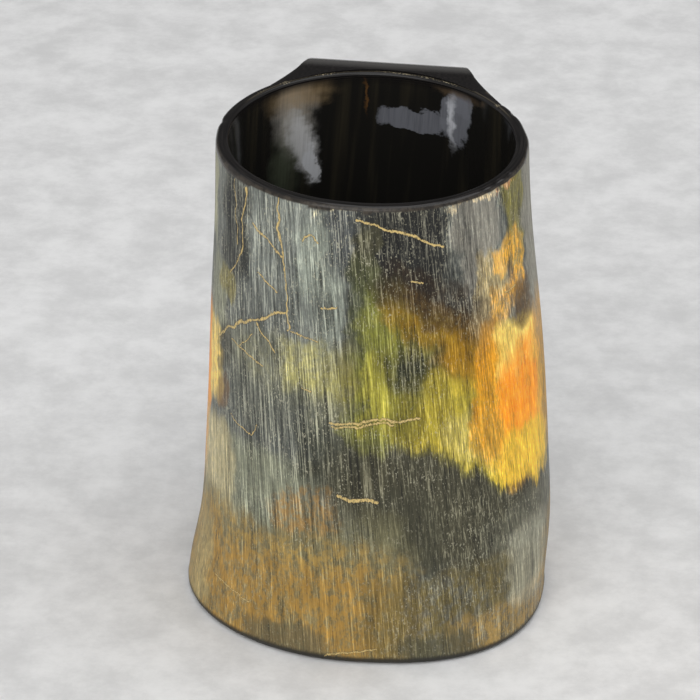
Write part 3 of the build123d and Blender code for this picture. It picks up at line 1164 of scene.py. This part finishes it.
@dataclass(frozen=True)
class FibreLayer:
    """Streaks, pale hairs and specks over the patches, and the dark heel."""

    hair: Colour = (208, 203, 176)
    heel: Colour = (46, 45, 40)
    streak: Weights = (("strand", 2.6), ("vein", 1.5), ("hair", 1.7), ("dash", 0.9))
    streak_by_fibre: Step = Step(0.1, 0.5, 0.4, 1.0)
    least_tone: float = 0.25
    gain: float = 1.22
    pale: Weights = (("strand", 0.6), ("dash", 0.3))
    pale_fibre: float = 0.35
    pale_step: Step = Step(0.52, 0.68)
    pale_by_fibre: Step = Step(0.1, 0.6, 0.25, 0.9)
    pale_by_drift: Step = Step(0.35, 0.6, 0.4, 1.0)
    glow: float = 2.3
    hair_by_fibre: Step = Step(0.2, 0.5, 0.1, 0.45)
    speck: Step = Step(0.58, 0.7)
    speck_by_drift: Step = Step(0.4, 0.62, 0.3, 1.0)
    speck_by_fibre: Step = Step(0.15, 0.5, 0.15, 0.6)
    heel_step: Step = Step(3.0, 1.6, 0.0, 0.95)

    def paint(self, ground: Ground, colour: Value, fibre: Value) -> tuple[Value, Value]:
        """Paint the fibres over the patches.

        Args:
            ground: shared places and noises.
            colour: colour of the patches.
            fibre: how fibrous the horn is.

        Returns:
            The colour, and the share of pale hairs.
        """
        brush = ground.brush
        tone = ground.swing(self.streak) * fibre.ease(self.streak_by_fibre) + 1.0
        tone = tone.most(self.least_tone) * self.gain
        colour = brush.mix(1.0, colour, brush.combine(tone, tone, tone), "MULTIPLY")
        pale = ground.hair + ground.swing(self.pale) + (fibre - NOISE_MIDDLE) * self.pale_fibre
        pale = pale.ease(self.pale_step) * fibre.ease(self.pale_by_fibre)
        pale = pale * ground.drift.ease(self.pale_by_drift)
        bright = brush.mix(1.0, colour, (self.glow, self.glow, self.glow, 1.0), "MULTIPLY")
        lit = brush.mix(fibre.ease(self.hair_by_fibre), bright, paint(*self.hair))
        colour = brush.mix(pale, colour, lit)
        speck = ground.grit.ease(self.speck) * ground.drift.ease(self.speck_by_drift)
        colour = brush.mix(speck * fibre.ease(self.speck_by_fibre), colour, paint(*self.hair))
        return brush.mix(ground.height.ease(self.heel_step), colour, paint(*self.heel)), pale


@dataclass(frozen=True)
class ScratchLayer:
    """Gold scratches with painted shade along their edges, which roam a little off their strokes."""

    scratches: tuple[Scratch, ...] = SCRATCHES
    gold: Colour = (222, 194, 128)
    # Colour of the painted shade along the edges of the scratches
    dark: Colour = (46, 45, 40)
    widths: float = 1.7
    stroke: Step = Step(0.55, 0.85)
    stroke_by_grit: Step = Step(0.35, 0.55, 0.4, 1.0)
    edge: Step = Step(0.1, 0.4, 0.0, 0.4)
    roam_round: Weights = (("grit", 0.5), ("drift", 6.0))
    roam_up: Weights = (("dash", 1.2), ("blotch", 6.0))
    flat: FlatMap = FlatMap()

    def nearness(self, skin: Value) -> Value:
        """Nearness to the strokes.

        Args:
            skin: place on the flat map.

        Returns:
            One on a stroke, falling to nothing at the set number of widths from it.
        """
        brush = skin.brush
        nearest: Value | float = 0.0
        for scratch in self.scratches:
            fall = Step(scratch.width * self.widths, 0.0)
            for begin, end in zip(scratch.marks, scratch.marks[1:]):
                start = self.flat.spot(*begin)
                stroke = self.flat.spot(*end) - start
                away = brush.vector("SUBTRACT", skin, tuple(start))
                along = brush.vector("DOT_PRODUCT", away, tuple(stroke / (stroke @ stroke)), result="Value")
                inputs = {"Vector": tuple(stroke), "Scale": along.most(0.0).least(1.0)}
                reached = brush.out(brush.node("ShaderNodeVectorMath", {"operation": "SCALE"}, inputs))
                nearest = brush.vector("DISTANCE", away, reached, result="Value").ease(fall).most(nearest)
        return nearest

    def paint(self, ground: Ground, colour: Value) -> tuple[Value, Value]:
        """Paint the scratches.

        Args:
            ground: shared places and noises.
            colour: colour under the scratches.

        Returns:
            The colour, and the share of scratches.
        """
        brush = ground.brush
        off = brush.combine(ground.swing(self.roam_round), ground.swing(self.roam_up))
        near = self.nearness(brush.vector("ADD", ground.skin, off))
        scratch = near.ease(self.stroke) * ground.grit.ease(self.stroke_by_grit)
        # Painted shade along each scratch's edges, then the gold stroke
        colour = brush.mix(near.ease(self.edge), colour, paint(*self.dark))
        return brush.mix(scratch, colour, paint(*self.gold)), scratch


@dataclass(frozen=True)
class RimLayer:
    """Dressed rim and handle: brushed, worn at the lip, with a painted highlight across the bend, and
    scored at the back.
    """

    dark: Colour = (16, 15, 15)
    pale: Colour = (40, 37, 36)
    lip: Colour = (78, 71, 62)
    # Colour of the painted highlight across the top of the handle's bend
    bend_highlight: Colour = (92, 90, 88)
    flake: Colour = (176, 164, 136)
    brushing: Grain = Grain((3.0, 3.0, 0.0))
    brushing_step: Step = Step(0.35, 0.75)
    lip_step: Step = Step(1.1, 0.2)
    lip_by_mottle: Step = Step(0.0, 1.0, 0.25, 0.8)
    bend_start: Step = Step(159.0, 163.0)
    bend_end: Step = Step(172.0, 166.0, 0.0, 0.7)
    score_radius: float = 39.55
    score_at_back: Step = Step(14.0, 20.0)
    score_step: Step = Step(0.4, 0.1, 0.0, 0.12)
    flake_step: Step = Step(0.8, 0.2)
    flake_by_drift: Step = Step(0.55, 0.62)
    flake_by_grit: Step = Step(0.5, 0.62)

    def paint(self, ground: Ground, colour: Value) -> Value:
        """Paint the dressed faces.

        Args:
            ground: shared places and noises.
            colour: colour of the outside.

        Returns:
            The colour with the dressed faces over it.
        """
        brush = ground.brush
        ring = brush.vector("LENGTH", brush.combine(ground.right, ground.back), result="Value")
        brushed = brush.noise(brush.combine(ring, ground.height), self.brushing)
        dressed = brush.mix(brushed.ease(self.brushing_step), paint(*self.dark), paint(*self.pale))
        lip = brush.attribute("lip", "Fac").ease(self.lip_step) * ground.mottle.ease(self.lip_by_mottle)
        dressed = brush.mix(lip, dressed, paint(*self.lip))
        # Painted highlight across the bend of the handle
        bend_highlight_share = ground.height.ease(self.bend_start) * ground.height.ease(self.bend_end)
        dressed = brush.mix(bend_highlight_share, dressed, paint(*self.bend_highlight))
        colour = brush.mix(ground.rim, colour, dressed)
        off_score = (ring - self.score_radius).math("ABSOLUTE")
        at_back = ground.back.ease(self.score_at_back) * ground.rim
        flakes = off_score.ease(self.flake_step) * ground.drift.ease(self.flake_by_drift)
        flakes = flakes * ground.grit.ease(self.flake_by_grit)
        scored = off_score.ease(self.score_step).most(flakes) * at_back
        return brush.mix(scored, colour, paint(*self.flake))


@dataclass(frozen=True)
class LiningReflectionLayer:
    """Polished inside, nearly black, with painted reflections as pale ragged patches, and one amber streak.
    """

    patches: tuple[Patch, ...] = INSIDE_REFLECTIONS_AND_STREAK
    dark: Colour = (30, 29, 27)
    pale: Colour = (50, 46, 37)
    pale_by_vein: Step = Step(0.45, 0.75)
    patch_by_strand: Step = Step(0.3, 0.6, 0.75, 1.0)
    rags: tuple[Grain, ...] = (Grain((0.2, 0.2, 0.2), 4.0, 0.6), Grain((0.16, 0.16, 0.3), 4.0, 0.6))
    rag_reach: float = 8.0
    flat: FlatMap = FlatMap()

    def paint(self, ground: Ground, colour: Value) -> Value:
        """Paint the inside.

        Args:
            ground: shared places and noises.
            colour: colour of the outside and the rim.

        Returns:
            The colour with the inside over it.
        """
        brush = ground.brush
        skin = self.flat.skin(ground.right, ground.back, ground.height)
        noises = [brush.noise(ground.grown, rag) for rag in self.rags]
        off = brush.combine(*((noise - NOISE_MIDDLE) * self.rag_reach for noise in noises))
        ragged = brush.vector("ADD", skin, off)
        lining_and_reflections = brush.mix(ground.vein.ease(self.pale_by_vein), paint(*self.dark), paint(*self.pale))
        # Painted reflections over the dark lining, and the amber streak
        for patch in self.patches:
            share = self.flat.patch_share(ragged, patch) * ground.strand.ease(self.patch_by_strand)
            lining_and_reflections = brush.mix(share, lining_and_reflections, paint(*patch.colour))
        return brush.mix(ground.inside, colour, lining_and_reflections)


@dataclass(frozen=True)
class HornFinish:
    """Natural horn: dark slate with pale fibres, patches of gold and tan, and scratches."""

    noises: HornNoises = HornNoises()
    patches: PatchLayer = PatchLayer()
    fibres: FibreLayer = FibreLayer()
    scratches: ScratchLayer = ScratchLayer()
    rim: RimLayer = RimLayer()
    lining_and_reflections: LiningReflectionLayer = LiningReflectionLayer()
    rough: float = 0.5
    rough_pale: float = 0.1
    rough_dash: float = 0.2
    rough_rim: float = 0.16
    rough_inside: float = 0.12
    shine: float = 0.3
    hair_relief: float = 0.5
    strand_relief: float = 0.3
    grit_relief: float = 0.3
    scratch_relief: float = 1.2
    rim_smooth: float = 0.85
    relief_depth: float = 0.12
    relief_strength: float = 0.6

    def material(self) -> bpy.types.Material:
        """Paint the horn, one layer over the other.

        Returns:
            The material.
        """
        brush = Brush(bpy.data.materials.new("horn"))
        ground = self.noises.ground(brush)
        colour, fibre = self.patches.paint(ground)
        colour, pale = self.fibres.paint(ground, colour, fibre)
        colour, scratch = self.scratches.paint(ground, colour)
        colour = self.rim.paint(ground, colour)
        colour = self.lining_and_reflections.paint(ground, colour)
        rough = self.rough - pale * self.rough_pale + (ground.dash - NOISE_MIDDLE) * self.rough_dash
        rough = rough + (self.rough_rim - rough) * ground.rim
        rough = rough + (self.rough_inside - rough) * ground.inside
        relief = ground.hair * self.hair_relief + ground.strand * self.strand_relief
        relief = relief + ground.grit * self.grit_relief - scratch * self.scratch_relief
        relief = relief * (1.0 - ground.inside) * (1.0 - ground.rim * self.rim_smooth)
        return brush.surface(
            {
                "Base Color": colour,
                "Roughness": rough,
                "Normal": brush.bump(relief, self.relief_depth, self.relief_strength),
                "Specular IOR Level": self.shine,
            }
        )


@dataclass(frozen=True)
class WoodFinish:
    """Dark oiled hardwood with growth rings and fine pores."""

    name: str
    dark: Colour = (44, 29, 19)
    light: Colour = (84, 58, 38)
    ring_width: float = 3.2
    ring_slant: float = 0.4
    ring_wobble: float = 3.0
    ring_step: Step = Step(0.1, 0.95)
    wobble: Grain = Grain((0.05, 0.02, 0.05), 3.0)
    pore: Grain = Grain((2.5, 0.25, 2.5))
    pore_step: Step = Step(0.55, 0.7)
    pore_depth: float = 0.05
    rough: Step = Step(0.3, 0.7, 0.38, 0.55)

    def material(self) -> bpy.types.Material:
        """Paint the wood.

        Returns:
            The material.
        """
        brush = Brush(bpy.data.materials.new(self.name))
        place = brush.place()
        wobble = brush.noise(place, self.wobble)
        right, _, height = brush.split(place)
        across = (right + height * self.ring_slant) / self.ring_width
        rings = (across + wobble * self.ring_wobble).math("FRACT")
        pores = brush.noise(place, self.pore)
        colour = brush.mix(rings.ease(self.ring_step), paint(*self.dark), paint(*self.light))
        colour = brush.mix(pores.ease(self.pore_step), colour, paint(*self.dark))
        normal = brush.bump(pores, self.pore_depth)
        return brush.surface({"Base Color": colour, "Roughness": pores.ease(self.rough), "Normal": normal})


@dataclass(frozen=True)
class SoftFinish:
    """Plain stuff whose colour and roughness follow one soft noise."""

    name: str
    low: Colour
    high: Colour
    cloud: Grain
    cloud_step: Step
    rough: Step

    def material(self) -> bpy.types.Material:
        """Paint the stuff.

        Returns:
            The material.
        """
        brush = Brush(bpy.data.materials.new(self.name))
        cloud = brush.noise(brush.place(), self.cloud)
        colour = brush.mix(cloud.ease(self.cloud_step), paint(*self.low), paint(*self.high))
        return brush.surface({"Base Color": colour, "Roughness": cloud.ease(self.rough)})


# Dark amber sealing resin, glossy, with a few cloudy swirls
RESIN = SoftFinish(
    "resin",
    low=(38, 20, 8),
    high=(88, 50, 18),
    cloud=Grain((0.12, 0.12, 0.3), 4.0),
    cloud_step=Step(0.4, 0.7),
    rough=Step(0.3, 0.7, 0.12, 0.25),
)
# Pale soft cloth under the cup
CLOTH = SoftFinish(
    "cloth",
    low=(214, 214, 214),
    high=(236, 236, 236),
    cloud=Grain((0.05, 0.05, 0.05), 6.0, 0.7),
    cloud_step=Step(0.3, 0.7),
    rough=Step(0.0, 1.0, 0.85, 0.95),
)


@dataclass
class HornCup:
    """Wall and handle of the cup, as the one piece of horn they are cut from."""

    form: HornForm
    finish: HornFinish
    name: str = "horn_cup"
    sharp: float = 38.0
    dressed_depth: float = 1.5
    inside_share: float = 0.7
    inside_drop: float = 0.6
    proud: float = 0.12
    plug_low: float = 90.0
    plug_high: float = 149.0
    grown_back: float = 42.0

    def build(self) -> bpy.types.Object:
        """Join the wall and the strip into one closed surface.

        Returns:
            The piece.
        """
        wall = CupWall(self.form)
        strip = HandleStrip(self.form)
        cup = strip.surface().to_object(self.name)
        plug = wall.bore(strip.root_setback, self.plug_low, self.plug_high).to_object("plug")
        joined(cup, plug, Join.CUT)
        joined(cup, wall.surface().to_object("wall"), Join.ADD)
        self.mark(cup.data, strip)
        cup.data.polygons.foreach_set("use_smooth", np.ones(len(cup.data.polygons), bool))
        cup.data.set_sharp_from_angle(angle=math.radians(self.sharp))
        return cup

    def mark(self, mesh: bpy.types.Mesh, strip: HandleStrip) -> None:
        """Store where each point grew, whether it is inside or dressed, and how far in the rim.

        On the wall a point grew where it is. On the strip it grew as far above the rim as its way
        along the strip's middle line, as the strip was before it was bent.

        Args:
            mesh: the joined mesh.
            strip: the strip, for its middle line.
        """
        points = np.empty(len(mesh.vertices) * 3)
        mesh.vertices.foreach_get("co", points)
        points = points.reshape(-1, 3) / MM
        right, back, height = points.T
        turn = np.arctan2(right, -back)
        depth = self.form.reach(turn, height) - np.hypot(right, back)
        below = self.form.rim(right, back) - height
        on_strip = (below < -self.proud) | (depth < -self.proud)
        line_back, line_height, heading, *_, run = strip.line.T
        near = np.argmin(np.hypot(back[:, None] - line_back, height[:, None] - line_height), axis=1)
        slope = np.radians(heading[near])
        above = (height - line_height[near]) * np.cos(slope) - (back - line_back[near]) * np.sin(slope)
        rise = self.form.rim_height + run[near]
        unbent = np.stack([right, np.full_like(back, self.grown_back), rise], axis=1)
        grown = np.where(on_strip[:, None], unbent, points)
        deep = depth > self.form.wall(height) * self.inside_share
        inside = ~on_strip & deep & (below > self.dressed_depth * self.inside_drop)
        rim = np.where(on_strip, above > 0, (below < self.dressed_depth) | inside)
        lip = np.where(on_strip, self.form.wall_at_rim, depth)
        stored = mesh.attributes.new("grown", "FLOAT_VECTOR", "POINT")
        stored.data.foreach_set("vector", grown.astype(np.float32).ravel())
        for name, share in (("inside", inside), ("rim", rim), ("lip", lip)):
            stored = mesh.attributes.new(name, "FLOAT", "POINT")
            stored.data.foreach_set("value", share.astype(np.float32))

    def dress(self, cup: bpy.types.Object) -> None:
        """Give the piece its finish and its body, and hide the node it stands for.

        Args:
            cup: the piece.
        """
        cup.data.materials.clear()
        cup.data.materials.append(self.finish.material())
        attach(cup, "root")
        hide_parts("horn_shell")


@dataclass(frozen=True)
class Light:
    """One soft box: where it hangs, what it is aimed at, how large and how strong it is."""

    name: str
    place: tuple[float, float, float]
    size: tuple[float, float]
    power: float
    aim: tuple[float, float, float] = (0.0, 0.0, 0.07)


@dataclass
class Studio:
    """Floor, light and camera."""

    floor_half: float = 6.0
    sky: float = 0.55
    dark_from: float = 0.35
    dark_to: float = 0.8
    dark_share: float = 0.2
    azimuth: float = 5.79
    elevation: float = 28.85
    distance: float = 1.1
    target: tuple[float, float, float] = (-0.00630, 0.00186, 0.07298)
    view: float = 10.10
    sensor: float = 36.0
    lights: tuple[Light, ...] = (
        Light("overhead", (0.4, 0.05, 1.5), (1.4, 1.4), 9.0),
        Light("front", (-0.3, -1.6, 1.1), (1.8, 1.2), 7.0),
        Light("near", (-0.1, -0.6, 0.7), (0.6, 0.6), 1.2, (0.0, -0.1, 0.0)),
    )

    def build(self) -> None:
        """Set up the floor, the lights and the camera."""
        half = self.floor_half / MM
        corners = np.array([[-half, -half, 0.0], [half, -half, 0.0], [half, half, 0.0], [-half, half, 0.0]])
        floor = Surface(corners, [(0, 1, 2, 3)]).to_object("floor")
        floor.data.materials.append(CLOTH.material())
        scene = bpy.context.scene
        scene.view_settings.view_transform = "Standard"
        scene.world = self.world()
        for light in self.lights:
            self.hang(light)
        self.point_camera()

    def world(self) -> bpy.types.World:
        """Even white sky that darkens behind the cup, as a room does away from its windows.

        Returns:
            The world.
        """
        brush = Brush(bpy.data.worlds.new("studio"))
        _, back, _ = brush.split(brush.out(brush.node("ShaderNodeTexCoord"), "Generated"))
        strength = back.ease(Step(self.dark_from, self.dark_to, self.sky, self.sky * self.dark_share))
        inputs = {"Color": (1.0, 1.0, 1.0, 1.0), "Strength": strength}
        sky = brush.node("ShaderNodeBackground", inputs=inputs)
        end = brush.node("ShaderNodeOutputWorld")
        brush.tree.links.new(sky.outputs[0], end.inputs[0])
        return brush.owner

    def hang(self, light: Light) -> None:
        """Hang one soft box and aim it.

        Args:
            light: the soft box.
        """
        lamp = bpy.data.lights.new(light.name, "AREA")
        lamp.shape = "RECTANGLE"
        lamp.size, lamp.size_y = light.size
        lamp.energy = light.power
        box = bpy.data.objects.new(light.name, lamp)
        box.location = light.place
        box.rotation_euler = self.facing(np.array(light.aim) - np.array(light.place))
        bpy.context.scene.collection.objects.link(box)

    @staticmethod
    def facing(way: np.ndarray) -> tuple[float, float, float]:
        """Angles that turn something facing down to look along a way, kept upright."""
        flat = math.hypot(way[0], way[1])
        return (math.atan2(flat, -way[2]), 0.0, math.atan2(-way[0], way[1]))

    def point_camera(self) -> None:
        """Put the camera where the photo was taken from."""
        turn, rise = math.radians(self.azimuth), math.radians(self.elevation)
        back = np.array([math.sin(turn) * math.cos(rise), -math.cos(turn) * math.cos(rise), math.sin(rise)])
        lens = bpy.data.cameras.new("camera")
        lens.sensor_width = self.sensor
        lens.angle = math.radians(self.view)
        camera = bpy.data.objects.new("camera", lens)
        camera.location = np.array(self.target) + self.distance * back
        camera.rotation_euler = self.facing(-back)
        bpy.context.scene.collection.objects.link(camera)
        bpy.context.scene.camera = camera


def main() -> None:
    """Build and dress every piece, set the studio and log the faces and the finishes."""
    logging.basicConfig(level=logging.INFO, format="%(message)s")
    cup = HornCup(HornForm(), HornFinish())
    piece = cup.build()
    cup.dress(piece)
    LOG.info("%s: %d faces", piece.name, len(piece.data.polygons))
    finishes = {
        "base_disc": WoodFinish("disc_wood"),
        "base_bead": RESIN,
        "handle_pegs": WoodFinish("peg_wood", dark=(36, 23, 15), light=(66, 44, 28), ring_width=0.9),
    }
    for node, finish in finishes.items():
        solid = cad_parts[node]
        solid.data.materials.clear()
        solid.data.materials.append(finish.material())
        LOG.info("%s: %s", node, finish.name)
    Studio().build()


if __name__ == "__main__":
    main()
